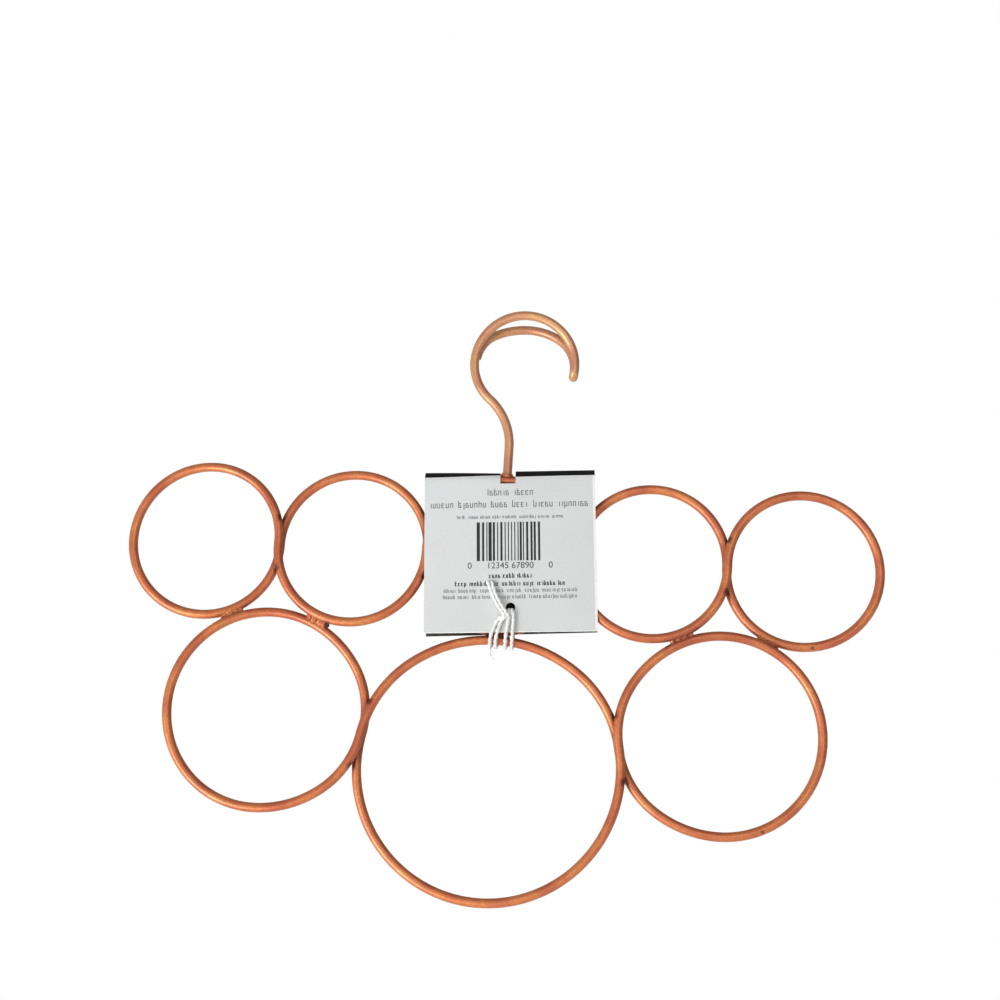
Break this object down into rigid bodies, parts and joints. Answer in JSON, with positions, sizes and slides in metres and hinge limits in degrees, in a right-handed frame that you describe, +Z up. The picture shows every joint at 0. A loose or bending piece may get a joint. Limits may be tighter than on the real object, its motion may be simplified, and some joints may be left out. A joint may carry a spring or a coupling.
{
  "type": "scarf hanger",
  "caption": "Copper-finish wire scarf hanger: two welded rows of loops under a doubled wire hook, with a folded card tied on; scarves pull through the loops.",
  "frame": {"origin": "the seat inside the top of the hook, between its two arms, where the hanger hangs on a rod", "axes": "+X to the right along the rows of loops, +Y to the back, away from the card's printed side, +Z up"},
  "size_m": [0.3584, 0.0187, 0.2815],
  "materials": {
    "copper_wire": "satin copper coating over steel wire",
    "weld_metal": "coated weld beads, darker in the crevices",
    "printed_card": "satin printed face, black back",
    "white_string": "soft twisted cotton"
  },
  "bodies": {
    "root": {"upper_wire_mid_top": "copper_wire", "upper_wire_mid_bottom": "copper_wire", "lower_wire_big_top": "copper_wire", "lower_wire_big_bottom": "copper_wire", "hook_wire": "copper_wire", "upper_joint_welds": "weld_metal", "lower_joint_welds": "weld_metal", "row_welds": "weld_metal", "hook_foot_weld": "weld_metal", "hook_arm_weld": "weld_metal", "folded_card": "printed_card", "tie_string": "white_string"}
  },
  "joints": []
}
